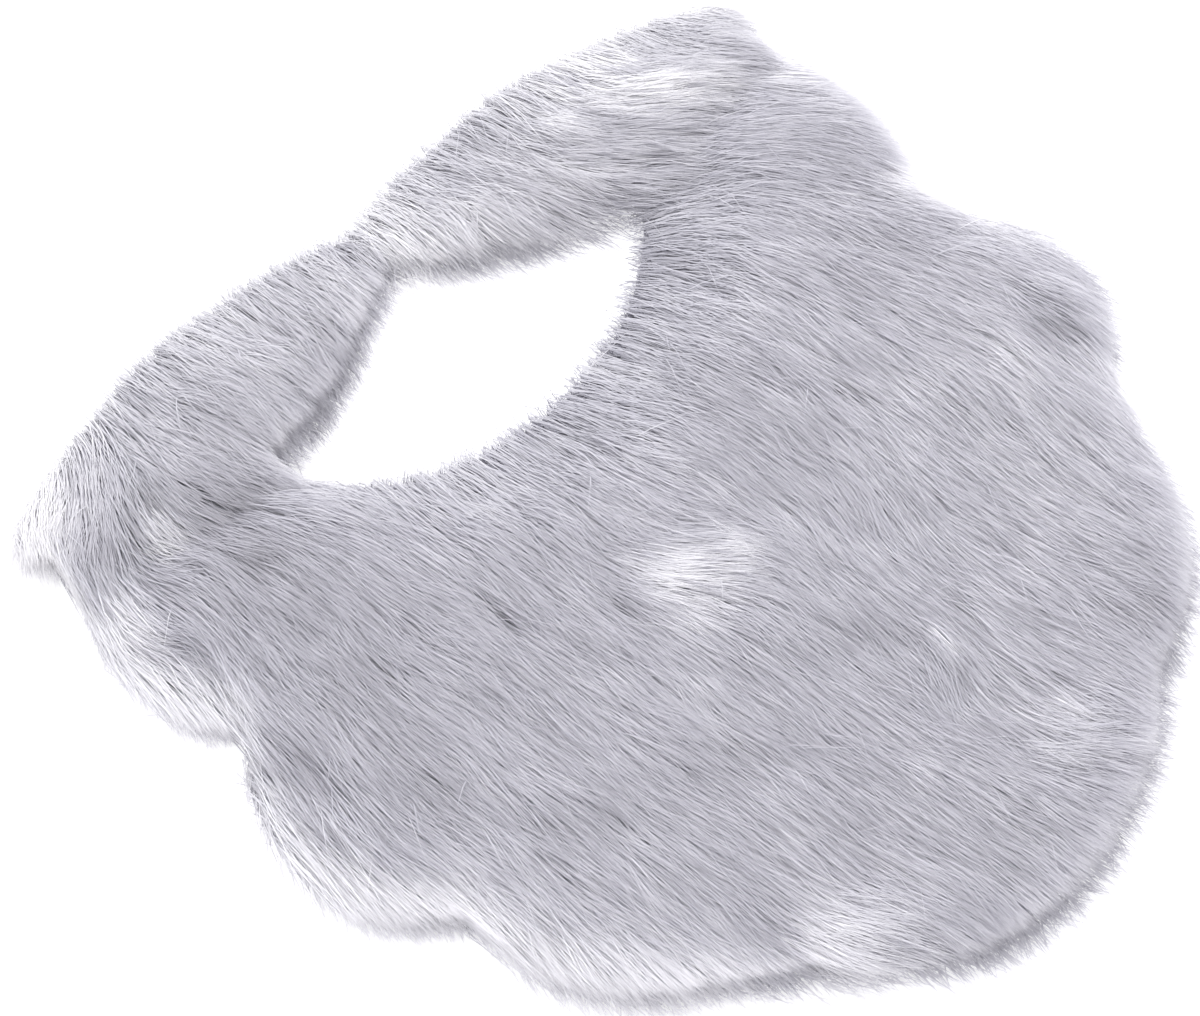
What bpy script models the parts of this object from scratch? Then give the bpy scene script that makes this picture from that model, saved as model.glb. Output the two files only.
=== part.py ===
"""Fake beard lying flat: a beard panel with seven scallops, and a moustache panel lapped over its two ends.

Each panel is a knitted backing with its deep pile on top, in overlapping locks that are fused to the backing.
Metres, +Z up. The beard lies on the plane Z = 0, with +X to the viewer's right and +Y towards the nose.
"""

import math
import random
from collections import namedtuple

import bmesh
import bpy
from mathutils import Matrix, Vector

MM = 0.001

# Backing
BACKING_THICKNESS = 2.0 * MM
ARC_STEP = 7.0 * MM

# Seam: the moustache panel's lower edge, which lies over the beard panel's bare upper ends
SEAM_OUTER = (103.0, 88.5)
SEAM_INNER = (58.0, 77.5)
SEAM_AT_MOUTH = (46.0, 64.0)
SEAM_OVERHANG = 0.3 * MM
LAP_GAP = 0.4 * MM
LAP_LIFT = BACKING_THICKNESS + LAP_GAP
LIFT_STARTS_AT_X = 34.0 * MM
LIFT_ENDS_AT_X = 50.0 * MM
LIFT_CREASES = 4

# Right half of each outline, clockwise, as arcs that each start where the row above ends.
# bulge is how far the arc's middle stands out to the left of the way along it.
# The left half is its mirror image.
BEARD_START = (0.0, 44.0)
MOUTH_LOWER = ("mouth_lower", 55.5, 70.0, -7.0)
BEARD_SIDE = (
    # edge, end x, end y, bulge, all in mm
    ("cheek", 101.0, 28.0, 9.0),
    ("jaw", 94.5, -36.0, 15.0),
    ("jowl", 47.0, -89.0, 11.5),
    ("chin", 0.0, -110.0, 5.5),
)
BEARD_BACKING = (MOUTH_LOWER, ("tab_inner", 58.5, 89.0, 0.0), ("tab_top", 99.0, 94.0, 0.0), *BEARD_SIDE)
BEARD_PILED = (MOUTH_LOWER, ("corner", *SEAM_INNER, 0.0), ("seam", *SEAM_OUTER, 0.0), *BEARD_SIDE)
MOUSTACHE_START = (0.0, 110.5)
MOUSTACHE_BACKING = (
    ("lobe_top", 108.0, 100.0, 10.5),
    ("tip", 106.0, 91.0, 2.0),
    ("tip_lower", *SEAM_OUTER, 0.0),
    ("seam", *SEAM_INNER, 0.0),
    ("mouth_upper", 0.0, 103.5, 3.0),
)

# The way the pile lies, as degrees from -Y towards +X: an even lean, and patches combed another way
EVEN_LEAN = 8.0
COMBED_PATCHES = (
    # patch, x, y and reach in mm, lean added at its middle in degrees
    ("cheek_right", 88.0, 75.0, 30.0, 36.0),
    ("moustache_right", 95.0, 100.0, 26.0, 14.0),
    ("tip_left", -108.0, 98.0, 20.0, -44.0),
    ("chin_right", 30.0, -108.0, 22.0, 20.0),
    ("chin_left", -48.0, -95.0, 18.0, 14.0),
    ("jaw_right", 95.0, -35.0, 26.0, -12.0),
)

# Locks of pile. None is shorter than shortest, and each fades to the share at_edge of its height at the
# panel's edge. overhang is how far the tips hang past the outline, and side_overhang how far the sides do.
Pile = namedtuple(
    "Pile",
    "pitch_along pitch_across length shortest width height at_edge overhang side_overhang",
)
BEARD_PILE = Pile(
    pitch_along=15.0 * MM,
    pitch_across=12.0 * MM,
    length=34.0 * MM,
    shortest=11.0 * MM,
    width=15.0 * MM,
    height=13.0 * MM,
    at_edge=0.55,
    overhang=7.5 * MM,
    side_overhang=2.5 * MM,
)
MOUSTACHE_PILE = Pile(
    pitch_along=10.0 * MM,
    pitch_across=9.5 * MM,
    length=25.0 * MM,
    shortest=8.0 * MM,
    width=12.0 * MM,
    height=13.5 * MM,
    at_edge=0.6,
    overhang=8.0 * MM,
    side_overhang=2.5 * MM,
)
EDGE_FADE = 13.0 * MM
EDGE_ROOT_INSET = 2.5 * MM
MOST_OUTWARDS = 0.2
LOCK_BASE = 0.6 * MM
LOCK_BEND = 9.0
LOCK_ROOT_SHIFT = 1.5 * MM
LOCK_SIZE_SPREAD = 0.1
LOCK_DEPTHS = (1.0 * MM, 3.0 * MM)
LOCK_SECTIONS = (
    # share of length, of width, of height at the ridge and of height at the sides
    (0.0, 0.55, 0.42, 0.30),
    (0.35, 0.90, 0.72, 0.50),
    (0.76, 0.94, 0.97, 0.66),
    (1.0, 0.42, 0.72, 0.54),
)
SPINE_STEPS = 8
SIDE_STEPS = 5
BEARD_SEED = 3
MOUSTACHE_SEED = 5
FAR = 200.0 * MM

PILE_COLOUR = (0.48, 0.47, 0.52, 1.0)
PILE_ROUGHNESS = 0.8


def arc(start, end, bulge):
    """Points from start towards end along an arc whose middle stands bulge to the left of the chord."""
    chord = end - start
    if not bulge:
        return [start.copy()]
    along = chord.normalized()
    left = Vector((-along.y, along.x))
    half_angle = 2.0 * math.atan2(2.0 * abs(bulge), chord.length)
    radius = 0.5 * chord.length / math.sin(half_angle)
    count = max(2, round(2.0 * half_angle * radius / ARC_STEP))
    points = []
    for i in range(count):
        angle = half_angle * (2.0 * i / count - 1.0)
        out = math.copysign(radius * (math.cos(angle) - math.cos(half_angle)), bulge)
        points.append(start + 0.5 * chord + along * radius * math.sin(angle) + left * out)
    return points


def mirrored(points):
    return [Vector((-p.x, p.y)) for p in reversed(points)]


def outline_of(start, rows):
    """A panel's whole outline, clockwise, from the table of its right half."""
    right = []
    here = Vector(start) * MM
    for _, x, y, bulge in rows:
        end = Vector((x, y)) * MM
        right += arc(here, end, bulge * MM)
        here = end
    right.append(here)
    return right + mirrored(right[1:-1])


def inset(point, outline):
    """How far a point lies inside an outline. Outside, it is below 0."""
    nearest = math.inf
    inside = False
    for a, b in zip(outline, outline[1:] + outline[:1]):
        side = b - a
        share = max(0.0, min(1.0, (point - a).dot(side) / side.length_squared))
        nearest = min(nearest, (a + side * share - point).length)
        if (a.y > point.y) != (b.y > point.y):
            inside ^= point.x < a.x + side.x * (point.y - a.y) / side.y
    return nearest if inside else -nearest


def nap(point):
    """The way in which the pile lies at a point."""
    lean = EVEN_LEAN
    for _, x, y, reach, added in COMBED_PATCHES:
        away = (point - Vector((x, y)) * MM).length / (reach * MM)
        lean += added * math.exp(-away * away)
    return Vector((math.sin(math.radians(lean)), -math.cos(math.radians(lean))))


def object_of(name, shape):
    """A new object from a bmesh, which is freed."""
    bmesh.ops.recalc_face_normals(shape, faces=shape.faces)
    mesh = bpy.data.meshes.new(name)
    shape.to_mesh(mesh)
    shape.free()
    piece = bpy.data.objects.new(name, mesh)
    bpy.context.scene.collection.objects.link(piece)
    return piece


def prism(name, outline, low, high, creases=()):
    """A closed solid with an upright wall all round an outline, its faces divided along each crease's X."""
    shape = bmesh.new()
    floor = shape.faces.new([shape.verts.new((p.x, p.y, low)) for p in outline])
    raised = bmesh.ops.extrude_face_region(shape, geom=[floor])["geom"]
    top = [v for v in raised if isinstance(v, bmesh.types.BMVert)]
    bmesh.ops.translate(shape, verts=top, vec=(0.0, 0.0, high - low))
    for x in creases:
        everything = list(shape.verts) + list(shape.edges) + list(shape.faces)
        bmesh.ops.bisect_plane(shape, geom=everything, plane_co=(x, 0.0, 0.0), plane_no=(1.0, 0.0, 0.0))
    return object_of(name, shape)


def combine(target, other, operation, joins_itself=False):
    """Join other to target, or cut it away, and leave only the target."""
    modifier = target.modifiers.new(operation.lower(), "BOOLEAN")
    modifier.operation = operation
    modifier.solver = "EXACT"
    modifier.use_self = joins_itself
    modifier.object = other
    bpy.context.view_layer.update()
    evaluated = target.evaluated_get(bpy.context.evaluated_depsgraph_get())
    result = bpy.data.meshes.new_from_object(evaluated)
    target.modifiers.clear()
    target.data = result
    bpy.data.objects.remove(other)


def edge_roots(outline, pitch):
    """Places just inside the outline, pitch apart, from which the pile lies inwards or along the edge."""
    roots = []
    gone = 0.0
    for a, b in zip(outline, outline[1:] + outline[:1]):
        side = b - a
        inwards = Vector((side.y, -side.x)).normalized()
        while gone < side.length:
            root = a + side * (gone / side.length) + inwards * EDGE_ROOT_INSET
            if nap(root).dot(inwards) > -MOST_OUTWARDS:
                roots.append(root)
            gone += pitch
        gone -= side.length
    return roots


def field_roots(outline, pitch_along, pitch_across, draw):
    """Places all over a panel, in rows from the nose down, each row's between those of the row above."""
    low_x = min(p.x for p in outline)
    low_y = min(p.y for p in outline)
    high_y = max(p.y for p in outline)
    rows = math.ceil((high_y - low_y) / pitch_along)
    columns = math.ceil(-2.0 * low_x / pitch_across) + 1
    roots = []
    for row in range(rows):
        for column in range(columns):
            x = low_x + (column + 0.5 * (row % 2)) * pitch_across
            y = high_y - (row + 0.5) * pitch_along
            shift = [draw.uniform(-LOCK_ROOT_SHIFT, LOCK_ROOT_SHIFT) for _ in range(2)]
            root = Vector((x, y)) + Vector(shift)
            if inset(root, outline) > EDGE_ROOT_INSET:
                roots.append(root)
    return roots


def spine_of(root, length, bend, outline, overhang):
    """Points down the middle of a lock, along the nap with a bend, as far as overhang past the outline."""
    points = [root]
    for i in range(SPINE_STEPS):
        way = nap(points[-1])
        way.rotate(Matrix.Rotation(math.radians(bend) * (i + 0.5) / SPINE_STEPS, 2))
        step = way * (length / SPINE_STEPS)
        room = inset(points[-1] + step, outline) + overhang
        if room < 0.0:
            points.append(points[-1] + step * (1.0 + max(-1.0, room / step.length)))
            break
        points.append(points[-1] + step)
    return points


def at_share(points, share):
    """The point at a share of the way along a row of points, and the way there."""
    place = share * (len(points) - 1)
    i = min(int(place), len(points) - 2)
    step = points[i + 1] - points[i]
    return points[i] + step * (place - i), step.normalized()


def side_point(middle, across, outline, overhang):
    """The side of a lock, drawn in where it would stand out too far past the outline."""
    for i in range(SIDE_STEPS):
        side = middle + across * (1.0 - i / SIDE_STEPS)
        if inset(side, outline) > -overhang:
            break
    return side


def add_lock(shape, points, width, height, depth, outline, pile):
    """Add one lock to shape: a ridge with upright sides, low at its root, and blunt and proud at its tip."""
    rings = []
    for share, wide, ridge, side in LOCK_SECTIONS:
        middle, way = at_share(points, share)
        across = Vector((-way.y, way.x)) * (0.5 * wide * width)
        left = side_point(middle, across, outline, pile.side_overhang)
        right = side_point(middle, -across, outline, pile.side_overhang)
        fade = max(0.0, min(1.0, (inset(middle, outline) + pile.overhang) / (EDGE_FADE + pile.overhang)))
        tall = height * (pile.at_edge + (1.0 - pile.at_edge) * fade)
        corners = (
            (*left, -depth),
            (*left, side * tall),
            (*middle, ridge * tall),
            (*right, side * tall),
            (*right, -depth),
        )
        rings.append([shape.verts.new(corner) for corner in corners])
    for a, b in zip(rings, rings[1:]):
        for i in range(len(a)):
            shape.faces.new((a[i - 1], a[i], b[i], b[i - 1]))
    shape.faces.new(rings[0])
    shape.faces.new(rings[-1])


def locks(name, outline, pile, seed):
    """All the locks of a panel: those rooted at its edge, and those of its field clear of them."""
    draw = random.Random(seed)
    edge = edge_roots(outline, pile.pitch_across)
    field = field_roots(outline, pile.pitch_along, pile.pitch_across, draw)
    clear = 0.5 * pile.pitch_across
    field = [root for root in field if all((root - other).length > clear for other in edge)]
    shape = bmesh.new()
    for root in edge + field:
        length = pile.length * draw.uniform(1.0 - LOCK_SIZE_SPREAD, 1.0 + LOCK_SIZE_SPREAD)
        bend = draw.uniform(-LOCK_BEND, LOCK_BEND)
        width = pile.width * draw.uniform(1.0 - LOCK_SIZE_SPREAD, 1.0 + LOCK_SIZE_SPREAD)
        height = pile.height * draw.uniform(1.0 - LOCK_SIZE_SPREAD, 1.0)
        depth = draw.uniform(*LOCK_DEPTHS)
        points = spine_of(root, length, bend, outline, pile.overhang)
        if (len(points) - 1) * length / SPINE_STEPS > pile.shortest:
            add_lock(shape, points, width, height, depth, outline, pile)
    return object_of(name, shape)


def seam_line(drop):
    """The right side's seam, from the mouth outwards, moved down by drop."""
    return [Vector(p) * MM - Vector((0.0, drop)) for p in (SEAM_AT_MOUTH, SEAM_INNER, SEAM_OUTER)]


def beard_cutters():
    """The space above the seam, which the beard panel's locks keep out of."""
    right = seam_line(SEAM_OVERHANG + LAP_GAP)
    end_y = right[-1].y
    above = mirrored(right) + right
    above += [Vector((FAR, end_y)), Vector((FAR, FAR)), Vector((-FAR, FAR)), Vector((-FAR, end_y))]
    return [prism("above_seam", above, -FAR, FAR)]


def moustache_cutters():
    """The spaces below the seam, one on each side of the mouth, which the moustache's locks keep out of."""
    right = seam_line(SEAM_OVERHANG)
    right += [Vector((FAR, right[-1].y)), Vector((FAR, 0.0)), Vector((right[0].x, 0.0))]
    return [prism("below_seam", side, -FAR, FAR) for side in (right, mirrored(right))]


def panel(name, backing_outline, piled_outline, pile, seed, cutters, creases=()):
    """One panel: its locks, cut level just above the table and trimmed at the seam, fused to the backing."""
    fused = locks(name, piled_outline, pile, seed)
    corners = [Vector(p) for p in ((-FAR, -FAR), (FAR, -FAR), (FAR, FAR), (-FAR, FAR))]
    combine(fused, prism("base_cutter", corners, -FAR, LOCK_BASE, creases), "DIFFERENCE", joins_itself=True)
    for cutter in cutters:
        combine(fused, cutter, "DIFFERENCE")
    combine(fused, prism("backing", backing_outline, 0.0, BACKING_THICKNESS, creases), "UNION")
    return fused


def lift_at(x):
    """How far the moustache panel is bent up at X, from its middle on the table to its ends on the tabs."""
    share = max(0.0, min(1.0, (abs(x) - LIFT_STARTS_AT_X) / (LIFT_ENDS_AT_X - LIFT_STARTS_AT_X)))
    return LAP_LIFT * share * share * (3.0 - 2.0 * share)


def moustache_panel():
    outline = outline_of(MOUSTACHE_START, MOUSTACHE_BACKING)
    ramp = LIFT_ENDS_AT_X - LIFT_STARTS_AT_X
    creases = [LIFT_STARTS_AT_X + ramp * i / LIFT_CREASES for i in range(LIFT_CREASES + 1)]
    creases += [-x for x in creases]
    cutters = moustache_cutters()
    moustache = panel("moustache_panel", outline, outline, MOUSTACHE_PILE, MOUSTACHE_SEED, cutters, creases)
    for v in moustache.data.vertices:
        v.co.z += lift_at(v.co.x)
    return moustache


def beard_panel():
    backing = outline_of(BEARD_START, BEARD_BACKING)
    piled = outline_of(BEARD_START, BEARD_PILED)
    return panel("beard_panel", backing, piled, BEARD_PILE, BEARD_SEED, beard_cutters())


def centre_over_origin(pieces):
    """Move the pieces so that the middle of their whole outline is at X = Y = 0."""
    corners = [v.co for piece in pieces for v in piece.data.vertices]
    middle_x = 0.5 * (min(c.x for c in corners) + max(c.x for c in corners))
    middle_y = 0.5 * (min(c.y for c in corners) + max(c.y for c in corners))
    for piece in pieces:
        piece.data.transform(Matrix.Translation((-middle_x, -middle_y, 0.0)))


def pile_material(name):
    material = bpy.data.materials.new(name)
    material.use_nodes = True
    shader = material.node_tree.nodes["Principled BSDF"]
    shader.inputs["Base Color"].default_value = PILE_COLOUR
    shader.inputs["Roughness"].default_value = PILE_ROUGHNESS
    shader.inputs["Metallic"].default_value = 0.0
    return material


def main():
    for piece in list(bpy.data.objects):
        bpy.data.objects.remove(piece)
    pieces = (beard_panel(), moustache_panel())
    for piece in pieces:
        piece.data.materials.clear()
        piece.data.materials.append(pile_material(piece.name + "_pile"))
    centre_over_origin(pieces)


main()
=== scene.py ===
"""Fake beard of pale grey deep-pile fur fabric, lying flat on a white floor.

The pile is modelled as fibres. Each is a thin tapering ribbon that grows from the knitted backing, rises, and
lies over its neighbours the way the pile is combed. Fibres gather in locks. They are cut off a little outside
the edge.
"""

import math
from collections import namedtuple

import bpy
import numpy as np
from mathutils import Matrix, Vector
from mathutils.geometry import delaunay_2d_cdt


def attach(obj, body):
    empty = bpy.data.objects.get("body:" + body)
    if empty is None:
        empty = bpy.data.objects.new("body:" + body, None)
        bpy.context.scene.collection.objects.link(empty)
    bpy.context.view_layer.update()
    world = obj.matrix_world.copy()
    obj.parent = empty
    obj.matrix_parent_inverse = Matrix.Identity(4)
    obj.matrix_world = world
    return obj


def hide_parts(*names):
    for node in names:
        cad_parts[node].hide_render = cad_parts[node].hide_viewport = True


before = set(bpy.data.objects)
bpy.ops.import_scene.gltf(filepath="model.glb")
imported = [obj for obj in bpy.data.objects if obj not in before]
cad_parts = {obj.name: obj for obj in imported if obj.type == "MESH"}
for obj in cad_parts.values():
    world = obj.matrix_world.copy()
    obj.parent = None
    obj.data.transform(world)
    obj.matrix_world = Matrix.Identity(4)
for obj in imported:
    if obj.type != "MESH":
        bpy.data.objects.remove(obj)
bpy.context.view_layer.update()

MM = 0.001

# Cut of the two panels, as in the solids: the right half of each outline, clockwise, as arcs that each start
# where the row above ends. bulge is how far the arc's middle stands out to the left of the way along it.
BACKING_THICKNESS = 2.0 * MM
ARC_STEP = 2.5 * MM
TAB_TOP_Y = 94.0 * MM
SEAM_OUTER = (103.0, 88.5)
SEAM_INNER = (58.0, 77.5)
BEARD_START = (0.0, 44.0)
MOUTH_LOWER = ("mouth_lower", 55.5, 70.0, -7.0)
BEARD_SIDE = (
    # edge, end x, end y, bulge, all in mm
    ("cheek", 101.0, 28.0, 9.0),
    ("jaw", 94.5, -36.0, 15.0),
    ("jowl", 47.0, -89.0, 11.5),
    ("chin", 0.0, -110.0, 5.5),
)
BEARD_BACKING = (MOUTH_LOWER, ("tab_inner", 58.5, 89.0, 0.0), ("tab_top", 99.0, 94.0, 0.0), *BEARD_SIDE)
BEARD_PILED = (MOUTH_LOWER, ("corner", *SEAM_INNER, 0.0), ("seam", *SEAM_OUTER, 0.0), *BEARD_SIDE)
MOUSTACHE_START = (0.0, 110.5)
MOUSTACHE_EDGES = (
    ("lobe_top", 108.0, 100.0, 10.5),
    ("tip", 106.0, 91.0, 2.0),
    ("tip_lower", *SEAM_OUTER, 0.0),
    ("seam", *SEAM_INNER, 0.0),
    ("mouth_upper", 0.0, 103.5, 3.0),
)
LAP_LIFT = 2.4 * MM
LIFT_STARTS_AT_X = 34.0 * MM
LIFT_ENDS_AT_X = 50.0 * MM

# The way the pile lies, as degrees from -Y towards +X: an even lean, and patches combed another way
EVEN_LEAN = 3.0
COMBED_PATCHES = (
    # patch, x, y and reach in mm, lean added at its middle in degrees
    ("cheek_right", 92.0, 74.0, 34.0, 32.0),
    ("mouth_right", 52.0, 70.0, 26.0, 38.0),
    ("moustache_left", -96.0, 96.0, 20.0, -40.0),
    ("cheek_left", -72.0, 72.0, 22.0, 10.0),
    ("middle", -3.0, -8.0, 12.0, 43.0),
    ("right_of_middle", 36.0, -20.0, 20.0, -13.0),
    ("chin_right", 28.0, -104.0, 22.0, 22.0),
    ("chin_left", -38.0, -100.0, 18.0, 30.0),
    ("jaw_right", 95.0, -36.0, 26.0, -13.0),
    ("below_mouth", 12.0, 34.0, 24.0, 16.0),
    ("jaw_right_upper", 92.0, 10.0, 26.0, 10.0),
    ("jowl_right", 62.0, -64.0, 22.0, 9.0),
    ("jaw_left", -92.0, 48.0, 16.0, -11.0),
    ("mouth_left", -62.0, 70.0, 13.0, 16.0),
    ("streak_cheek_left", -88.0, 71.0, 7.0, 38.0),
    ("streak_edge_left", -102.0, 59.0, 7.0, 42.0),
    ("whorl", 18.0, -66.0, 7.0, -28.0),
    ("streak_jowl_right", 27.0, -97.0, 8.0, 12.0),
    ("moustache_right_streak", 76.0, 88.0, 9.0, 16.0),
)
# Slow turns of the nap over the whole pile, in degrees
WIDE_SWAY = 3.0
NARROW_SWAY = 5.0
# Tufts that stand out of the pile or lie deep in it. Their added tone is painted light and shade: pale ones
# are painted highlights where lifted fibres catch the light, dark ones are painted shade between locks, under
# the fringe and in hollows.
TUFTS_AND_PAINTED_LIGHT = (
    # tuft, x, y and reach in mm at the fibres' tips, added height in mm, added tone (painted highlight or
    # painted shade)
    ("middle", -5.0, -17.0, 7.5, 1.4, 0.52),
    ("middle_right", 5.0, -18.0, 5.0, 0.8, 0.26),
    ("middle_low", -14.0, -26.0, 4.5, 0.6, 0.22),
    ("moustache_right", 79.0, 81.0, 7.5, 1.0, 0.40),
    ("moustache_right_upper", 76.0, 92.0, 7.0, 0.8, 0.34),
    ("moustache_right_low", 92.0, 76.0, 7.0, 0.6, 0.22),
    ("moustache_dark_right", 62.0, 84.0, 4.0, -0.8, -0.16),
    ("cheek_left", -85.0, 69.0, 4.5, 1.2, 0.42),
    ("cheek_dark_upper", -83.0, 78.0, 4.5, -1.0, -0.20),
    ("edge_left", -101.0, 57.0, 4.5, 1.0, 0.40),
    ("edge_dark_left", -93.0, 57.0, 4.0, -1.0, -0.22),
    ("notch_dark_right", 100.0, -34.0, 5.0, -1.4, -0.26),
    ("seam_dark_left", -66.0, 62.0, 5.0, -1.0, -0.20),
    ("fringe_dark_left", -39.0, 71.0, 7.0, 0.0, -0.30),
    ("fringe_dark_middle", -24.0, 79.0, 7.0, 0.0, -0.20),
    ("edge_dark_right", 61.0, -90.0, 7.0, 0.0, -0.20),
    # painted light along the pale upper left edges
    ("moustache_pale_left", -76.0, 108.0, 9.0, 0.0, 0.20),
    ("tip_pale_left", -104.0, 94.0, 9.0, 0.0, 0.24),
    # broad painted shade on the left and painted light on the right, for how the light falls across the pile
    ("cheek_shade_left", -80.0, 60.0, 26.0, 0.0, -0.08),
    ("jaw_shade_left", -84.0, 10.0, 30.0, 0.0, -0.05),
    ("body_pale_right", 70.0, -30.0, 40.0, 0.0, 0.06),
    ("moustache_pale_right", 60.0, 92.0, 16.0, 0.0, 0.08),
    ("jowl_right", 27.0, -97.0, 6.0, 0.8, 0.22),
    ("whorl", 20.0, -66.0, 2.5, 0.8, 0.16),
    ("whorl_dark_left", 16.0, -61.0, 3.0, -1.3, -0.26),
    ("whorl_dark_right", 30.0, -62.0, 3.5, -1.2, -0.22),
    ("whorl_dark_low", 15.0, -74.0, 3.0, -1.0, -0.20),
    ("jaw_dark_right", 95.0, -26.0, 4.5, -1.2, -0.22),
    ("cheek_dark_left", -73.0, 49.0, 4.5, -1.2, -0.24),
    ("middle_dark_left", -24.0, -12.0, 3.5, -0.8, -0.16),
    ("jowl_dark_left", -84.0, -19.0, 6.0, -0.8, -0.10),
)
# Where the edge was trimmed longer or shorter than elsewhere
TRIMS = (
    # place, x, y and reach in mm, added overhang in mm
    ("chin", -16.0, -112.0, 30.0, 7.5),
    ("chin_left_lobe", -45.0, -102.0, 9.0, 2.5),
    ("chin_right", 8.0, -119.0, 12.0, 3.0),
    ("jowl_right", 38.0, -106.0, 30.0, 8.0),
    ("jowl_right_outer", 78.0, -84.0, 28.0, 7.5),
    ("jaw_right", 118.0, -20.0, 20.0, 12.0),
    ("notch_right", 105.0, 20.0, 11.0, -4.5),
    ("cheek_right", 114.0, 66.0, 24.0, 3.5),
    ("notch_left", -104.0, 28.0, 8.0, -3.5),
    ("jowl_left", -99.0, -37.0, 16.0, -5.0),
    ("chin_left", -66.0, -82.0, 15.0, -4.0),
    ("cheek_left", -106.0, 76.0, 10.0, -4.0),
    ("jaw_left", -114.0, -5.0, 14.0, 1.0),
    ("mouth_lower", 0.0, 44.0, 26.0, 3.0),
    ("mouth_lower_right", 38.0, 56.0, 16.0, 3.0),
    ("fringe_right", 38.0, 74.0, 24.0, 8.0),
    ("fringe_right_end", 44.0, 70.0, 12.0, 5.5),
    ("fringe_middle", 12.0, 86.0, 16.0, 5.0),
    ("fringe_left", -34.0, 80.0, 18.0, 2.5),
    ("moustache_top_left", -28.0, 117.0, 26.0, 1.5),
    ("moustache_top_right", 16.0, 116.0, 14.0, 2.0),
    ("moustache_top_end_right", 84.0, 110.0, 20.0, -2.5),
    ("moustache_top_end_left", -84.0, 110.0, 14.0, -3.5),
    ("tip_right", 108.0, 98.0, 10.0, -4.5),
)

# Pile of the two panels. At an edge the fibres stand at_edge times as high as inside. They reach over an edge
# by overhang where they lie across it, and by side_overhang where they lie along it.
Pile = namedtuple("Pile", "panel height length overhang side_overhang at_edge spacing")
BEARD = Pile(
    panel="beard_panel",
    height=11.0 * MM,
    length=27.0 * MM,
    overhang=9.5 * MM,
    side_overhang=5.0 * MM,
    at_edge=0.55,
    spacing=0.458 * MM,
)
MOUSTACHE = Pile(
    panel="moustache_panel",
    height=11.0 * MM,
    length=22.0 * MM,
    overhang=9.5 * MM,
    side_overhang=5.0 * MM,
    at_edge=0.6,
    spacing=0.385 * MM,
)
# What is known of a panel's edge at each place: how far inside it the place lies, whether the pile lies out
# over it there, how far the pile reaches past it, and whether other pile lies below
Edge = namedtuple("Edge", "depth downhill overhang held_up")
EDGE_PITCH = 1.0 * MM
COARSE_PITCH = 2.0 * MM
PLAN_REACH = 120.0 * MM
# The cosine between the nap and the way out at which an edge begins to be a lower one, and at which it is one
LOWER_EDGE = (-0.1, 0.5)
# Fibres are rooted a little inside the outline and under the cloth's top. They reach full height EDGE_FADE
# inside the outline.
ROOT_INSET = 0.3 * MM
ROOT_DEPTH = 0.4 * MM
EDGE_FADE = 13.0 * MM

# A few fibres stray, and a share lies low under the top of the pile, more of them near an edge
STRAY_SHARE = 0.015
LOW_SHARE = 0.28
LOW_SHARE_AT_EDGE = 0.35
LOW_REACH = 8.0 * MM
# Lengths and heights of fibres, as shares of the pile's own
LENGTH_SPREAD = 0.10
LENGTH_LIMITS = (0.7, 1.3)
LOW_LENGTH = (0.35, 0.8)
LOW_LEVEL = (0.15, 0.85)
LOW_LEVEL_LOSS_AT_EDGE = 0.4
TOP_LEVEL = (0.88, 1.03)
STRAY_LEVEL = 1.1
LEAST_REACH = 0.3
RISE_CURVE = 1.9
SMALL_LOCK_RISE = 0.04
LARGE_LOCK_RISE = 0.035
GROUND_RISE = 0.07
TIP_SPREAD = 0.25 * MM
# How far single fibres and whole locks turn off the combed way, in degrees
STRAY_TURN = 20.0
LOW_TURN = 10.0
LOW_TURN_AT_EDGE = 12.0
TOP_TURN = 4.5
SMALL_LOCK_TURN = 4.0
LARGE_LOCK_TURN = 2.5
# How strongly fibres draw together towards the middle of their lock, and how far they wave
SMALL_PULL = 0.42
LARGE_PULL = 0.22
PULL_LOSS_AT_EDGE = 0.75
PULL_CURVE = 1.5
LOCK_WAVE = 0.45 * MM
FIBRE_WAVE = 0.2 * MM
WAVE_TURN = 1.4 * math.pi
# Fibres near an edge splay out over it. On an upper edge they arch out before they fall back with the nap.
# The more they arch, the later they set off, and past FLAT_SHADED_ARCH their faces are shaded flat.
SPLAY = 0.22
SPLAY_REACH = 4.0 * MM
ARCH = 7.4 * MM
ARCH_SPREAD = (0.1, 1.0)
ARCH_SHAPE = np.array((0.0, 1.0, 0.7, 0.0))
START_DELAY = 1.1
ARCH_DELAY = 1.3
FLAT_SHADED_ARCH = 0.25
# How far the trim lets fibres reach, as shares of the overhang. On a lower edge the top of the pile is cut
# shorter by the share TOP_TRIM. Pile that lies on other pile may reach on by HELD_REACH, which sets in across
# HELD_BAND at the other pile's edge.
LOW_CUT = (0.5, 1.15)
TOP_CUT = (0.88, 1.04)
TOP_TRIM = 0.5
TRIMMED_LEVELS = (0.3, 0.9)
TRIM_STEP = 0.05
LEAST_KEPT = 0.12
HELD_REACH = 40.0 * MM
HELD_BAND = (-2.0 * MM, 3.0 * MM)
# How far fibres sink past an edge: over the floor, at once and faster further out, and over other pile
SINK = 0.28
SINK_GROWTH = 12.0
HELD_SINK = 0.10
LOWEST = 0.4 * MM

# Tones, from 0 for the darkest fibre to 1 for the palest. Tufts are streaked by their small locks.
MEAN_TONE = 0.5
SMALL_LOCK_TONE = 0.036
LARGE_LOCK_TONE = 0.034
FIBRE_TONE = 0.035
STREAKS = 0.6
STREAK_LIMITS = (0.1, 1.9)
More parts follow.
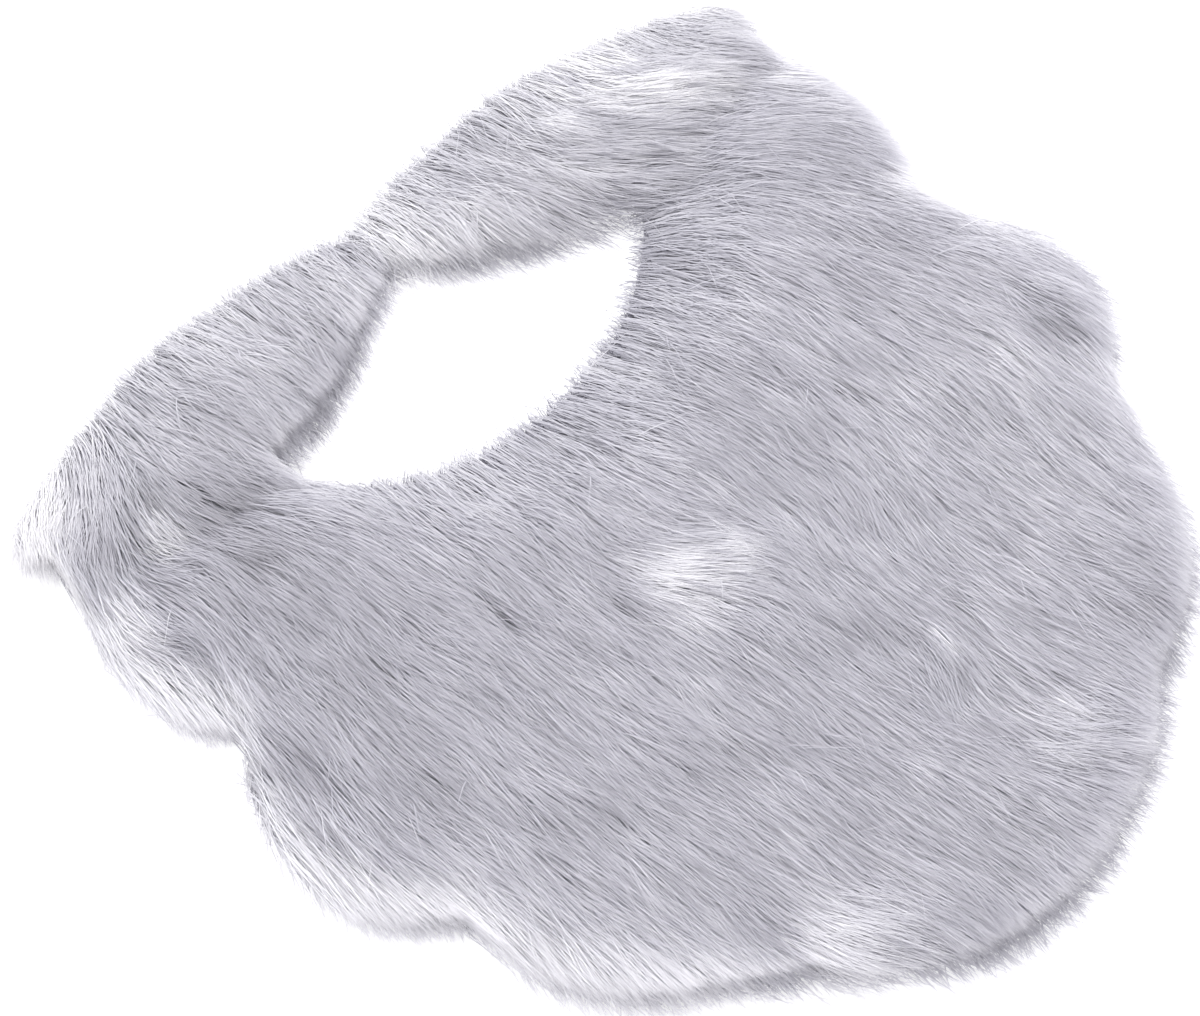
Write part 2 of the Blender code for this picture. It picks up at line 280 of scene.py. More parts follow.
# Tips near an edge are painted paler, as painted light on the edges that face the light, but not on the side
# that faces SHADED_FACING, an angle from -Y towards +X
PAINTED_EDGE_LIGHT = 0.34
PALE_REACH = 5.0 * MM
SHADED_FACING = math.radians(30.0)
SHADED_RANGE = (0.2, 0.8)
# The outermost rim of the pile is painted paler still, on upper and on lower edges: painted light, the bright
# glow where light shines through the sparse fibres
UPPER_RIM_LIGHT = 0.50
LOWER_RIM_LIGHT = 0.48
UPPER_RIM_REACH = 5.0 * MM
LOWER_RIM_REACH = 2.6 * MM
# On a lower edge the cut tips of the top are painted paler, a painted highlight along the crisp edge, and the
# low fibres below them are dark at the root, painted shade under the overhang
CUT_TIP_HIGHLIGHT = 0.20
WALL_SHADE = 0.42

# A fibre's points, as shares of its length, and its half widths at all of them but the tip
SHARES = np.array((0.0, 0.25, 0.6, 1.0))
WIDTHS = np.array((0.8, 1.0, 0.8)) * 0.11 * MM
LAST = len(SHARES) - 1
THICKNESS_SPREAD = (0.75, 1.35)
ROLL_SPREAD = 0.22
# A fibre's cell in the map, as shares of the cell: its sides, its foot and its length
CELL_SIDES = (0.1, 0.9)
CELL_FOOT = 0.04
CELL_LENGTH = 0.92
CELL_COLUMNS_TO_ROWS = 2.0
BEARD_PIECES = ("beard_pile_chin", "beard_pile_jowls", "beard_pile_jaws", "beard_pile_cheeks")

# Backing: a cloth a little off the floor, a little thinner than the solid's and gently waved on top
CLOTH_STEP = 4.0 * MM
CLOTH_RIM = 2.0 * MM
CLOTH_LOW = 0.02 * MM
CLOTH_SLACK = 0.3 * MM
CLOTH_WAVE = 0.25 * MM
CLOTH_WELD = 1e-7
UNDERSIDE = 0.1 * MM

# Camera, floor and light
LOOK_AT = (-8.5 * MM, 19.5 * MM, 0.0)
CAMERA_AZIMUTH = -43.15
CAMERA_ELEVATION = 61.2
CAMERA_DISTANCE = 675.0 * MM
CAMERA_LENS = 90.0
CAMERA_SENSOR = 36.0
FLOOR_HALF_WIDTH = 6.0
FLOOR_GLOW = 0.62
WORLD_STRENGTH = 0.775

SEED = 20
draw = np.random.default_rng(SEED)
shrink = 1.0


def arc(start, end, bulge):
    """Points from start towards end along an arc whose middle stands bulge to the left of the chord."""
    chord = end - start
    length = np.hypot(*chord)
    along = chord / length
    left = np.array((-along[1], along[0]))
    if not bulge:
        count = max(1, round(length / ARC_STEP))
        return [start + chord * (i / count) for i in range(count)]
    half_angle = 2.0 * math.atan2(2.0 * abs(bulge), length)
    radius = 0.5 * length / math.sin(half_angle)
    count = max(2, round(2.0 * half_angle * radius / ARC_STEP))
    points = []
    for i in range(count):
        angle = half_angle * (2.0 * i / count - 1.0)
        out = math.copysign(radius * (math.cos(angle) - math.cos(half_angle)), bulge)
        points.append(start + 0.5 * chord + along * radius * math.sin(angle) + left * out)
    return points


def outline_of(start, rows):
    """A panel's whole outline, clockwise, from the table of its right half, as an array of points."""
    right = []
    here = np.array(start) * MM
    for _, x, y, bulge in rows:
        end = np.array((x, y)) * MM
        right += arc(here, end, bulge * MM)
        here = end
    right.append(here)
    left = [p * (-1.0, 1.0) for p in reversed(right[1:-1])]
    return np.array(right + left)


def inset(points, outline):
    """How far each point lies inside an outline. Outside, it is below 0."""
    nearest = np.full(len(points), np.inf)
    inside = np.zeros(len(points), bool)
    x, y = points.T
    for a, b in zip(outline, np.roll(outline, -1, axis=0)):
        side = b - a
        share = np.clip((points - a) @ side / (side @ side), 0.0, 1.0)
        nearest = np.minimum(nearest, np.hypot(x - a[0] - share * side[0], y - a[1] - share * side[1]))
        if side[1]:
            crosses = (a[1] > y) != (b[1] > y)
            inside ^= crosses & (x < a[0] + side[0] * (y - a[1]) / side[1])
    return np.where(inside, nearest, -nearest)


def smooth(value, low, high):
    """0 below low, 1 above high, and an even curve between."""
    share = np.clip((value - low) / (high - low), 0.0, 1.0)
    return share * share * (3.0 - 2.0 * share)


class Field:
    """Values on a square grid over the plan, by a rule of the place or else random, read anywhere between."""

    HALF_WIDTH = 160.0 * MM

    def __init__(self, pitch, rule=None):
        self.pitch = pitch
        self.count = math.ceil(2.0 * self.HALF_WIDTH / pitch) + 2
        side = np.arange(self.count) * pitch - self.HALF_WIDTH
        places = np.stack(np.meshgrid(side, side, indexing="ij"), axis=2).reshape(-1, 2)
        values = draw.uniform(-1.0, 1.0, len(places)) if rule is None else rule(places)
        self.values = values.reshape(self.count, self.count)

    def __call__(self, points):
        place = np.clip((points + self.HALF_WIDTH) / self.pitch, 0.0, self.count - 2.001)
        cell = place.astype(int)
        across, up = (place - cell).T
        i, j = cell.T
        low = self.values[i, j] * (1.0 - across) + self.values[i + 1, j] * across
        high = self.values[i, j + 1] * (1.0 - across) + self.values[i + 1, j + 1] * across
        return low * (1.0 - up) + high * up

    def slope(self, points):
        """The way in which the values grow fastest, as unit vectors."""
        step_x = np.array((self.pitch, 0.0))
        step_y = np.array((0.0, self.pitch))
        growth_x = self(points + step_x) - self(points - step_x)
        growth_y = self(points + step_y) - self(points - step_y)
        length = np.maximum(np.hypot(growth_x, growth_y), 1e-9)
        return np.column_stack((growth_x / length, growth_y / length))


class Locks:
    """Gathers fibres into locks about pitch apart, each with draws of its own."""

    def __init__(self, pitch):
        self.pitch = pitch
        self.count = math.ceil(2.0 * Field.HALF_WIDTH / pitch) + 2
        self.shift = draw.uniform(0.0, 1.0, (self.count, self.count, 2))
        self.traits = draw.normal(0.0, 1.0, (self.count, self.count, 4))

    def of(self, points):
        """The middle of each point's own lock, and that lock's traits."""
        place = (points + Field.HALF_WIDTH) / self.pitch
        cell = place.astype(int)
        best = np.full(len(points), np.inf)
        middle = np.zeros_like(points)
        traits = np.zeros((len(points), 4))
        for i in (-1, 0, 1):
            for j in (-1, 0, 1):
                near = np.clip(cell + (i, j), 0, self.count - 1)
                there = near + self.shift[near[:, 0], near[:, 1]]
                away = np.hypot(*(there - place).T)
                closer = away < best
                best[closer] = away[closer]
                middle[closer] = there[closer] * self.pitch - Field.HALF_WIDTH
                traits[closer] = self.traits[near[closer, 0], near[closer, 1]]
        return middle, traits


def lift_at(x):
    """How far the moustache panel is bent up at X, from its middle on the table to its ends on the tabs."""
    return LAP_LIFT * smooth(np.abs(x), LIFT_STARTS_AT_X, LIFT_ENDS_AT_X)


def base_of(pile, roots):
    """The height at which a panel's fibres are rooted."""
    lifted = lift_at(roots[:, 0]) if pile is MOUSTACHE else np.zeros(len(roots))
    return lifted + BACKING_THICKNESS - ROOT_DEPTH


def patches(points, table):
    """Each row of a table, with a weight for how close each point lies to the row's place."""
    for row in table:
        away = np.hypot(*(points - np.array(row[1:3]) * MM).T) / (row[3] * MM)
        yield np.exp(-away * away), row


def lean_at(points):
    """Degrees from -Y towards +X that the pile leans at each point."""
    lean = EVEN_LEAN + WIDE_SWAY * wide_sway(points) + NARROW_SWAY * narrow_sway(points)
    for weight, row in patches(points, COMBED_PATCHES):
        lean += row[4] * weight
    return lean


def along_nap(lean):
    """Unit vectors for leans in radians."""
    return np.column_stack((np.sin(lean), -np.cos(lean)))


def grid(step):
    """Places on a square grid over the plan."""
    side = np.arange(-PLAN_REACH, PLAN_REACH, step)
    return np.stack(np.meshgrid(side, side, indexing="ij"), axis=2).reshape(-1, 2)


def scatter(rooted, spacing):
    """Fibre roots spread over an outline with some jitter."""
    points = grid(spacing)
    points += draw.uniform(-0.5, 0.5, points.shape) * spacing
    return points[Field(EDGE_PITCH, lambda places: inset(places, rooted))(points) > ROOT_INSET]


def downhill_at(places, depth):
    """1 where the pile lies out over an edge, 0 where it lies along one or away from it."""
    outward = -depth.slope(places)
    return smooth((outward * along_nap(np.radians(lean_at(places)))).sum(axis=1), *LOWER_EDGE)


def overhang_at(places, pile, downhill):
    """How far the pile reaches over the edge at each place."""
    overhang = pile.side_overhang + (pile.overhang - pile.side_overhang) * downhill(places)
    for weight, row in patches(places, TRIMS):
        overhang += row[4] * MM * weight
    return overhang


def comb(roots, depth, length, height, turned, pulled):
    """Each fibre's way over the plan from root to tip, how far it arches, and its locks' traits.

    Single fibres turn off the combed way by turned, in degrees. They draw together the more, the closer
    pulled is to 1.
    """
    small_middle, small = small_locks.of(roots)
    large_middle, large = large_locks.of(roots)
    turn = turned * draw.normal(size=len(roots))
    turn += SMALL_LOCK_TURN * small[:, 3]
    turn += LARGE_LOCK_TURN * large[:, 3]
    lean = np.radians(lean_at(roots) + turn)

    # Fibres rooted at an edge splay out over it, or arch out and back where the nap leads away from it
    outward = -depth.slope(roots)
    near = np.exp(-depth(roots) / SPLAY_REACH)
    arch = near * np.maximum(-(outward * along_nap(lean)).sum(axis=1), 0.0)
    reach = np.sqrt(np.maximum(length**2 - height**2, (LEAST_REACH * length) ** 2))
    delay = START_DELAY + ARCH_DELAY * arch

    path = [roots]
    for before, after in zip(SHARES, SHARES[1:]):
        lean = np.radians(lean_at(path[-1]) + turn)
        way = along_nap(lean) + SPLAY * near[:, None] * outward
        path.append(path[-1] + way * (reach * (after**delay - before**delay))[:, None])
    flat = np.stack(path, axis=1)
    out = ARCH * arch * draw.uniform(*ARCH_SPREAD, len(roots))
    flat += outward[:, None, :] * out[:, None, None] * ARCH_SHAPE[None, :, None]

    # Fibres draw together towards the middle of their lock, and wave a little
    side = np.column_stack((np.cos(lean), np.sin(lean)))[:, None, :]
    for middle, pull in ((small_middle, SMALL_PULL), (large_middle, LARGE_PULL)):
        across = ((middle - roots) * side[:, 0]).sum(axis=1)
        flat += side * (across * pull * pulled)[:, None, None] * (SHARES**PULL_CURVE)[None, :, None]
    wave = LOCK_WAVE * small[:, 0] + FIBRE_WAVE * draw.normal(size=len(roots))
    flat += side * wave[:, None, None] * np.sin(WAVE_TURN * SHARES)[None, :, None]
    return flat, arch, small, large


def at_share(flat, share):
    """The place at a share of each fibre's whole way, between its own points."""
    share = np.broadcast_to(share, len(flat))
    index = np.clip(np.searchsorted(SHARES, share, side="right") - 1, 0, LAST - 1)
    local = (share - SHARES[index]) / (SHARES[index + 1] - SHARES[index])
    rows = np.arange(len(flat))
    return flat[rows, index] * (1.0 - local[:, None]) + flat[rows, index + 1] * local[:, None]


def trim(flat, edge, low, level):
    """The share of each fibre that stays when the edge is trimmed."""
    count = len(flat)
    loose = np.where(low, draw.uniform(*LOW_CUT, count), draw.uniform(*TOP_CUT, count))
    top = TOP_TRIM * smooth(level, *TRIMMED_LEVELS)
    keep = np.ones(count)
    for share in np.arange(1.0, 0.0, -TRIM_STEP):
        place = at_share(flat, share)
        limit = edge.overhang(place) * loose * (1.0 - top * edge.downhill(place))
        limit += HELD_REACH * edge.held_up(place)
        keep = np.where(-edge.depth(place) > limit, share - TRIM_STEP, keep)
    return np.maximum(keep, LEAST_KEPT)


def settle(z, places, edge):
    """Heights of the fibres' points, from root to tip, after they have sunk past the edge."""
    for k in range(len(SHARES)):
        over = np.maximum(-edge.depth(places[:, k]), 0.0)
        held = edge.held_up(places[:, k])
        z[:, k] -= (SINK * over + SINK_GROWTH * over**2) * (1.0 - held) + HELD_SINK * over * held
    z += (draw.normal(size=len(z)) * TIP_SPREAD)[:, None] * SHARES[None, :]
    return np.maximum(z, LOWEST)


def shade(tone, places, edge, on_lower_edge, cut_top, shaded_wall):
    """Tones of the fibres' points, from root to tip, with painted light and shade at the edge: paler tips and
    rims, painted highlights on cut tips, and painted shade on the wall below.
    """
    tip = places[:, LAST]
    # Painted light: tips near an edge are paler, except on the side that faces the shade
    facing = -edge.depth.slope(tip) @ np.array((math.sin(SHADED_FACING), -math.cos(SHADED_FACING)))
    near = np.exp(-np.maximum(edge.depth(tip), 0.0) / PALE_REACH) * (1.0 - edge.held_up(tip))
    tone = tone + PAINTED_EDGE_LIGHT * (1.0 - smooth(facing, *SHADED_RANGE)) * near

    tones = np.repeat(tone[:, None], len(SHARES), axis=1)
    # Painted highlight along the cut edge of the top, and painted shade on the roots of the low fibres
    # beneath it
    tones[:, LAST] += CUT_TIP_HIGHLIGHT * cut_top * on_lower_edge
    tones[:, :2] -= (WALL_SHADE * shaded_wall * on_lower_edge)[:, None]
    # Painted light: the outermost rim glows paler where light shines through the sparse fibres
    rim_reach = UPPER_RIM_REACH + (LOWER_RIM_REACH - UPPER_RIM_REACH) * on_lower_edge
    rim_light = UPPER_RIM_LIGHT + (LOWER_RIM_LIGHT - UPPER_RIM_LIGHT) * on_lower_edge
    for k in range(len(SHARES)):
        place = places[:, k]
        rim = np.exp(-np.maximum(edge.overhang(place) + edge.depth(place), 0.0) / rim_reach)
        tones[:, k] += rim_light * rim * (1.0 - edge.held_up(place))
    return np.clip(tones, 0.0, 1.0)


def grow(pile, outline, rooted, held_up):
    """The fibres of a panel: four points each from root to tip, their tones, and whether they are smooth.

    They are rooted in one outline and trimmed by the other. Where held_up is 1, other pile lies under them.
    """
    depth = Field(EDGE_PITCH, lambda places: inset(places, outline))
    downhill = Field(COARSE_PITCH, lambda places: downhill_at(places, depth))
    overhang = Field(COARSE_PITCH, lambda places: overhang_at(places, pile, downhill))
    edge = Edge(depth, downhill, overhang, held_up)
    roots = scatter(rooted, pile.spacing / math.sqrt(shrink))
    count = len(roots)
    inside = depth(roots)
    on_lower_edge = downhill(roots)
    stray = draw.uniform(0.0, 1.0, count) < STRAY_SHARE
    at_edge = np.exp(-inside / LOW_REACH)
    low = draw.uniform(0.0, 1.0, count) < LOW_SHARE + LOW_SHARE_AT_EDGE * at_edge

    length = pile.length * np.clip(1.0 + LENGTH_SPREAD * draw.normal(size=count), *LENGTH_LIMITS)
    length *= np.where(low, draw.uniform(*LOW_LENGTH, count) * (1.0 - at_edge) + at_edge, 1.0)
    low_level = draw.uniform(*LOW_LEVEL, count) * (1.0 - LOW_LEVEL_LOSS_AT_EDGE * at_edge)
    level = np.where(low, low_level, draw.uniform(*TOP_LEVEL, count))
    fade = pile.at_edge + (1.0 - pile.at_edge) * smooth(inside, 0.0, EDGE_FADE)
    height = pile.height * fade * level * np.where(stray, STRAY_LEVEL, 1.0)
    turned = np.where(stray, STRAY_TURN, np.where(low, LOW_TURN + LOW_TURN_AT_EDGE * at_edge, TOP_TURN))
    pulled = 1.0 - PULL_LOSS_AT_EDGE * at_edge * np.where(low, 1.0, 1.0 - on_lower_edge)
    flat, arch, small, large = comb(roots, depth, length, height, turned, pulled)
    keep = trim(flat, edge, low, level)
    places = np.stack([at_share(flat, keep * share) for share in SHARES], axis=1)

    uneven = 1.0 + LARGE_LOCK_RISE * large[:, 1] + SMALL_LOCK_RISE * small[:, 1]
    height *= uneven + GROUND_RISE * swell(roots)
    tone = MEAN_TONE + SMALL_LOCK_TONE * small[:, 2] + LARGE_LOCK_TONE * large[:, 2]
    tone += FIBRE_TONE * draw.normal(size=count)
    streak = np.clip(1.0 + STREAKS * small[:, 2], *STREAK_LIMITS)
    # Tufts raise the pile, and add their painted highlights and painted shade to the tone
    for weight, row in patches(places[:, LAST], TUFTS_AND_PAINTED_LIGHT):
        height += row[4] * MM * weight
        tone += row[5] * weight * streak
    rise = 1.0 - (1.0 - keep[:, None] * SHARES[None, :]) ** RISE_CURVE
    z = settle(base_of(pile, roots)[:, None] + height[:, None] * rise, places, edge)
    tones = shade(tone, places, edge, on_lower_edge, (keep < 1.0) & ~low, low * at_edge)
    return np.concatenate((places, z[:, :, None]), axis=2), tones, arch < FLAT_SHADED_ARCH


def ribbons(name, points, tones, smooth_shaded, material):
    """One mesh of tapering ribbons, three faces each, that end in a point at the tip."""
    count = len(points)
    along = np.gradient(points, axis=1)
    along /= np.maximum(np.linalg.norm(along, axis=2, keepdims=True), 1e-9)
    side = np.cross(along, (0.0, 0.0, 1.0))
    side /= np.maximum(np.linalg.norm(side, axis=2, keepdims=True), 1e-9)
    side *= np.where((side * side[:, LAST:]).sum(axis=2, keepdims=True) < 0.0, -1.0, 1.0)
    up = np.cross(side, along)
    roll = draw.normal(0.0, ROLL_SPREAD, count)[:, None, None]
    across = side * np.cos(roll) + up * np.sin(roll)
    thick = draw.uniform(*THICKNESS_SPREAD, count)[:, None, None] / math.sqrt(shrink)
    half = across[:, :LAST] * WIDTHS[None, :, None] * thick
    corners_each = 2 * LAST + 1
    shape = np.empty((count, corners_each, 3))
    shape[:, 0:-1:2] = points[:, :LAST] - half
    shape[:, 1:-1:2] = points[:, :LAST] + half
    shape[:, -1] = points[:, LAST]

    corners = np.array((0, 1, 3, 2, 2, 3, 5, 4, 4, 5, 6))
    starts = np.array((0, 4, 8))
    mesh = bpy.data.meshes.new(name)
    mesh.vertices.add(count * corners_each)
    mesh.vertices.foreach_set("co", shape.ravel())
    mesh.loops.add(count * len(corners))
    mesh.loops.foreach_set("vertex_index", (np.arange(count)[:, None] * corners_each + corners).ravel())
    mesh.polygons.add(count * len(starts))
    mesh.polygons.foreach_set("loop_start", (np.arange(count)[:, None] * len(corners) + starts).ravel())
    mesh.update(calc_edges=True)
    mesh.polygons.foreach_set("use_smooth", np.repeat(smooth_shaded, len(starts)))

    share = np.array((*np.repeat(SHARES[:LAST], 2), 1.0))
    tone = np.repeat(tones, 2, axis=1)[:, :-1].ravel()
    for label, values in (("along", np.tile(share, count)), ("tone", tone)):
        mesh.attributes.new(label, "FLOAT", "POINT").data.foreach_set("value", values)

    # Each fibre has a cell of its own in the map, across its width and from root to tip
    columns = math.ceil(math.sqrt(count * CELL_COLUMNS_TO_ROWS))
    rows = math.ceil(count / columns)
    u = np.array(CELL_SIDES * LAST + (0.5,))
    v = CELL_FOOT + CELL_LENGTH * share
    number = np.arange(count)
    cell_u = (number % columns)[:, None] + u[None, :]
    cell_v = (number // columns)[:, None] + v[None, :]
    uv = np.stack((cell_u / columns, cell_v / rows), axis=2)[:, corners]
    mesh.uv_layers.new(name="OFBake").data.foreach_set("uv", uv.ravel())
    mesh.materials.append(material)
    shown = bpy.data.objects.new(name, mesh)
    bpy.context.scene.collection.objects.link(shown)
    return shown


def node(tree, kind, **values):
    """Adds a shader node and sets its properties, and its inputs by their names with _ for a space."""
    made = tree.nodes.new(kind)
    for key, value in values.items():
        if hasattr(made, key):
            setattr(made, key, value)
        else:
            made.inputs[key.replace("_", " ")].default_value = value
    return made


def new_material(name, **values):
    """A material with its surface shader, whose inputs are set by their names with _ for a space."""
    material = bpy.data.materials.new(name)
    material.use_nodes = True
    shader = material.node_tree.nodes["Principled BSDF"]
    for key, value in values.items():
        shader.inputs[key.replace("_", " ")].default_value = value
    return material, shader


def fur_material(name, dark, body, light):
    """Acrylic fibre, each a little different from the next, paler at the tip and darker at the root, where
    the darkening is painted shade deep in the pile.
    """
    material, shader = new_material(name, Roughness=0.62, Specular_IOR_Level=0.25)
    tree = material.node_tree
    along = node(tree, "ShaderNodeAttribute", attribute_name="along")
    tone = node(tree, "ShaderNodeAttribute", attribute_name="tone")
    spots = node(tree, "ShaderNodeTexNoise", Scale=220.0, Detail=2.0)
    place = node(tree, "ShaderNodeTexCoord")
    tree.links.new(place.outputs["Object"], spots.inputs["Vector"])
    add = node(tree, "ShaderNodeMath", operation="MULTIPLY_ADD")
    spots_share = add.inputs[1]
    spots_share.default_value = 0.2
    tree.links.new(spots.outputs["Fac"], add.inputs[0])
    tree.links.new(tone.outputs["Fac"], add.inputs[2])
    ramp = node(tree, "ShaderNodeValToRGB")
    ramp.color_ramp.elements[0].position = 0.15
    ramp.color_ramp.elements[0].color = (*dark, 1.0)
    ramp.color_ramp.elements[1].position = 1.0
    ramp.color_ramp.elements[1].color = (*light, 1.0)
    middle = ramp.color_ramp.elements.new(0.60)
    middle.color = (*body, 1.0)
    tree.links.new(add.outputs[0], ramp.inputs["Fac"])
    # Painted shade: each fibre darkens towards its root, deep in the pile
    depth = node(tree, "ShaderNodeValToRGB")
    depth.color_ramp.elements[0].position = 0.0
    depth.color_ramp.elements[0].color = (0.76, 0.76, 0.78, 1.0)
    depth.color_ramp.elements[1].position = 0.75
    depth.color_ramp.elements[1].color = (1.0, 1.0, 1.0, 1.0)
    tree.links.new(along.outputs["Fac"], depth.inputs["Fac"])
    mix = node(tree, "ShaderNodeMix", data_type="RGBA", blend_type="MULTIPLY")
    mix.inputs["Factor"].default_value = 1.0
    tree.links.new(ramp.outputs["Color"], mix.inputs[6])
    tree.links.new(depth.outputs["Color"], mix.inputs[7])
    tree.links.new(mix.outputs[2], shader.inputs["Base Color"])
    return material


def knit_material():
    """Warp-knitted backing: fine wales up the cloth and rows across, on pale grey yarn."""
    material, shader = new_material("knit_backing", Roughness=0.9, Specular_IOR_Level=0.15)
    tree = material.node_tree
    place = node(tree, "ShaderNodeTexCoord")
    wales = node(tree, "ShaderNodeTexWave", bands_direction="X", Scale=260.0, Distortion=0.4)
    rows = node(tree, "ShaderNodeTexWave", bands_direction="Y", Scale=190.0, Distortion=0.5)
    for wave in (wales, rows):
        wave.wave_type = "BANDS"
        tree.links.new(place.outputs["Object"], wave.inputs["Vector"])
    both = node(tree, "ShaderNodeMath", operation="MULTIPLY")
    tree.links.new(wales.outputs["Fac"], both.inputs[0])
    tree.links.new(rows.outputs["Fac"], both.inputs[1])
    ramp = node(tree, "ShaderNodeValToRGB")
    ramp.color_ramp.elements[0].color = (0.36, 0.36, 0.40, 1.0)
    ramp.color_ramp.elements[1].color = (0.66, 0.66, 0.71, 1.0)
    tree.links.new(both.outputs[0], ramp.inputs["Fac"])
    tree.links.new(ramp.outputs["Color"], shader.inputs["Base Color"])
    bump = node(tree, "ShaderNodeBump", Strength=0.6, Distance=0.0003)
    tree.links.new(both.outputs[0], bump.inputs["Height"])
    tree.links.new(bump.outputs["Normal"], shader.inputs["Normal"])
    return material


def backing(name, outline, material, lifted):
    """The knitted ground of a panel: a thin cloth cut to the outline, closed all round its edge."""
    inner = grid(CLOTH_STEP)
    inner = inner[inset(inner, outline) > CLOTH_RIM]
    count = len(outline)
    flat = [Vector(p) for p in (*outline, *inner)]
    loop = list(range(count - 1, -1, -1))
    points, _, faces, *_ = delaunay_2d_cdt(flat, [], [loop], 1, CLOTH_WELD)
    points = np.array([tuple(p) for p in points])
    rise = lift_at(points[:, 0]) if lifted else np.zeros(len(points))
    waves = CLOTH_WAVE * (1.0 + swell(points))
    low = np.column_stack((points, rise + CLOTH_LOW))
    high = np.column_stack((points, rise + BACKING_THICKNESS - CLOTH_SLACK - waves))
    edges = {}
    for face in faces:
        for a, b in zip(face, (*face[1:], face[0])):
            edges[(a, b)] = edges.get((a, b), 0) + 1
    rim = [edge for edge in edges if (edge[1], edge[0]) not in edges]
    top = len(points)
    shell = [tuple(v + top for v in face) for face in faces]
    shell += [tuple(reversed(face)) for face in faces]
    shell += [(a, b, b + top, a + top) for a, b in rim]
    mesh = bpy.data.meshes.new(name)
    mesh.from_pydata(np.vstack((low, high)).tolist(), [], shell)
    mesh.update()
    mesh.materials.append(material)
    shown = bpy.data.objects.new(name, mesh)
    bpy.context.scene.collection.objects.link(shown)
    return shown


def plan_shift():
    """How far the solids were moved from the plan that the outlines are drawn in."""
    under = [v.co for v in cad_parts["beard_panel"].data.vertices if v.co.z < UNDERSIDE]
    left = min(v.x for v in under)
    right = max(v.x for v in under)
    return np.array((0.5 * (left + right), max(v.y for v in under) - TAB_TOP_Y))


wide_sway = Field(38.0 * MM)
narrow_sway = Field(11.0 * MM)
swell = Field(16.0 * MM)
small_locks = Locks(2.6 * MM)
large_locks = Locks(7.5 * MM)
shift = plan_shift()

beard_outline = outline_of(BEARD_START, BEARD_BACKING)
moustache_outline = outline_of(MOUSTACHE_START, MOUSTACHE_EDGES)
knit = knit_material()
beard_fur = fur_material(
    "beard_fur",
    dark=(0.36, 0.35, 0.39),
    body=(0.61, 0.60, 0.665),
    light=(0.93, 0.92, 0.96),
)
moustache_fur = fur_material(
    "moustache_fur",
    dark=(0.38, 0.37, 0.41),
    body=(0.64, 0.63, 0.69),
    light=(0.94, 0.93, 0.96),
)

piled_outline = outline_of(BEARD_START, BEARD_PILED)
nowhere = Field(8.0 * MM, lambda places: np.zeros(len(places)))
on_beard = Field(COARSE_PITCH, lambda places: smooth(inset(places, piled_outline), *HELD_BAND))
fibres, tones, smooth_shaded = grow(BEARD, beard_outline, piled_outline, nowhere)
fibres[:, :, :2] += shift
chin_to_cheeks = np.argsort(fibres[:, 0, 1])
pieces = []
for name, part in zip(BEARD_PIECES, np.array_split(chin_to_cheeks, len(BEARD_PIECES))):
    beard_pile = ribbons(name, fibres[part], tones[part], smooth_shaded[part], beard_fur)
    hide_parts("beard_panel")
    pieces.append(beard_pile)

fibres, tones, smooth_shaded = grow(MOUSTACHE, moustache_outline, moustache_outline, on_beard)
fibres[:, :, :2] += shift
moustache_pile = ribbons("moustache_pile", fibres, tones, smooth_shaded, moustache_fur)
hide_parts("moustache_panel")
pieces.append(moustache_pile)

for name, outline, panel in (
    ("beard_backing", beard_outline, "beard_panel"),
    ("moustache_backing", moustache_outline, "moustache_panel"),
):
    cloth = backing(name, outline, knit, panel == MOUSTACHE.panel)
    cloth.data.transform(Matrix.Translation((*shift, 0.0)))
    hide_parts(panel)
    pieces.append(cloth)
for piece in pieces:
    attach(piece, "root")

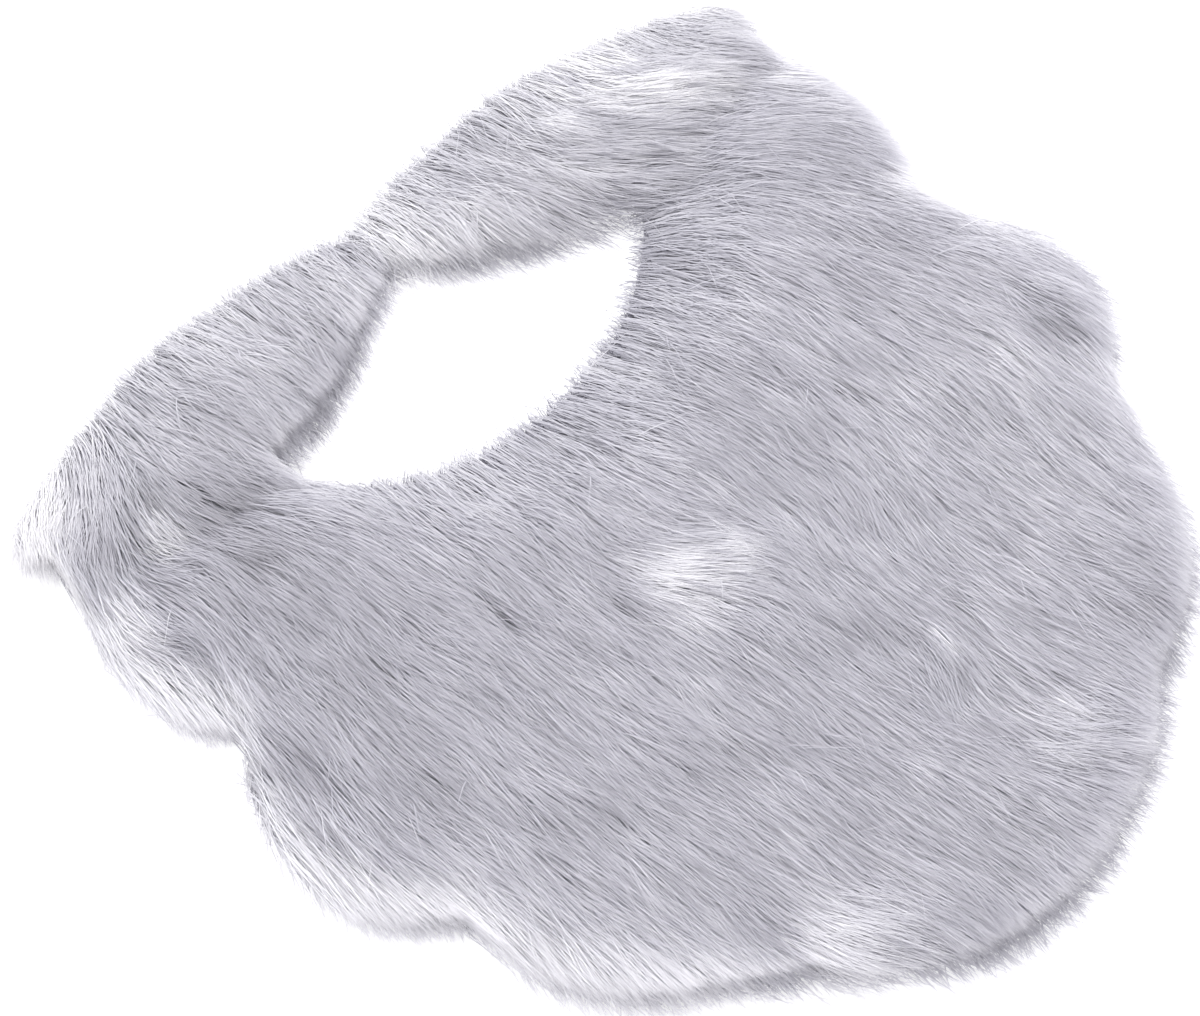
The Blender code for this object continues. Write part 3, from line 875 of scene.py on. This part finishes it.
floor_mesh = bpy.data.meshes.new("floor")
corner_signs = ((-1, -1), (1, -1), (1, 1), (-1, 1))
floor_corners = [(x * FLOOR_HALF_WIDTH, y * FLOOR_HALF_WIDTH, 0.0) for x, y in corner_signs]
floor_mesh.from_pydata(floor_corners, [], [(0, 1, 2, 3)])
floor = bpy.data.objects.new("floor", floor_mesh)
bpy.context.scene.collection.objects.link(floor)
white, _ = new_material(
    "floor",
    Base_Color=(0.60, 0.60, 0.60, 1.0),
    Emission_Color=(1.0, 1.0, 1.0, 1.0),
    Emission_Strength=FLOOR_GLOW,
    Roughness=1.0,
    Specular_IOR_Level=0.0,
)
floor_mesh.materials.append(white)

world = bpy.data.worlds.new("studio")
world.use_nodes = True
world.node_tree.nodes["Background"].inputs["Color"].default_value = (1.0, 1.0, 1.0, 1.0)
world.node_tree.nodes["Background"].inputs["Strength"].default_value = WORLD_STRENGTH
bpy.context.scene.world = world
bpy.context.scene.view_settings.view_transform = "Standard"
bpy.context.scene.view_settings.look = "None"


def direction(azimuth, elevation):
    """Unit vector from the object towards a place round it. Azimuth 0 is in front, at -Y, and 90 at +X."""
    a = math.radians(azimuth)
    e = math.radians(elevation)
    return Vector((math.sin(a) * math.cos(e), -math.cos(a) * math.cos(e), math.sin(e)))


def softbox(name, azimuth, elevation, distance, size, watts):
    """A square area light that faces the object from azimuth and elevation, in the camera's convention."""
    light = bpy.data.lights.new(name, "AREA")
    light.shape = "SQUARE"
    light.size = size
    light.energy = watts
    lamp = bpy.data.objects.new(name, light)
    bpy.context.scene.collection.objects.link(lamp)
    toward = direction(azimuth, elevation)
    lamp.location = toward * distance
    lamp.rotation_euler = toward.to_track_quat("Z", "Y").to_euler()


softbox("key", azimuth=-100.0, elevation=48.0, distance=1.2, size=0.9, watts=4.5)
softbox("fill", azimuth=115.0, elevation=50.0, distance=1.2, size=0.9, watts=10.5)

eye = bpy.data.cameras.new("camera")
eye.lens = CAMERA_LENS
eye.sensor_width = CAMERA_SENSOR
camera = bpy.data.objects.new("camera", eye)
bpy.context.scene.collection.objects.link(camera)
back = direction(CAMERA_AZIMUTH, CAMERA_ELEVATION)
camera.location = Vector(LOOK_AT) + back * CAMERA_DISTANCE
camera.rotation_mode = "QUATERNION"
camera.rotation_quaternion = back.to_track_quat("Z", "Y")
bpy.context.scene.camera = camera
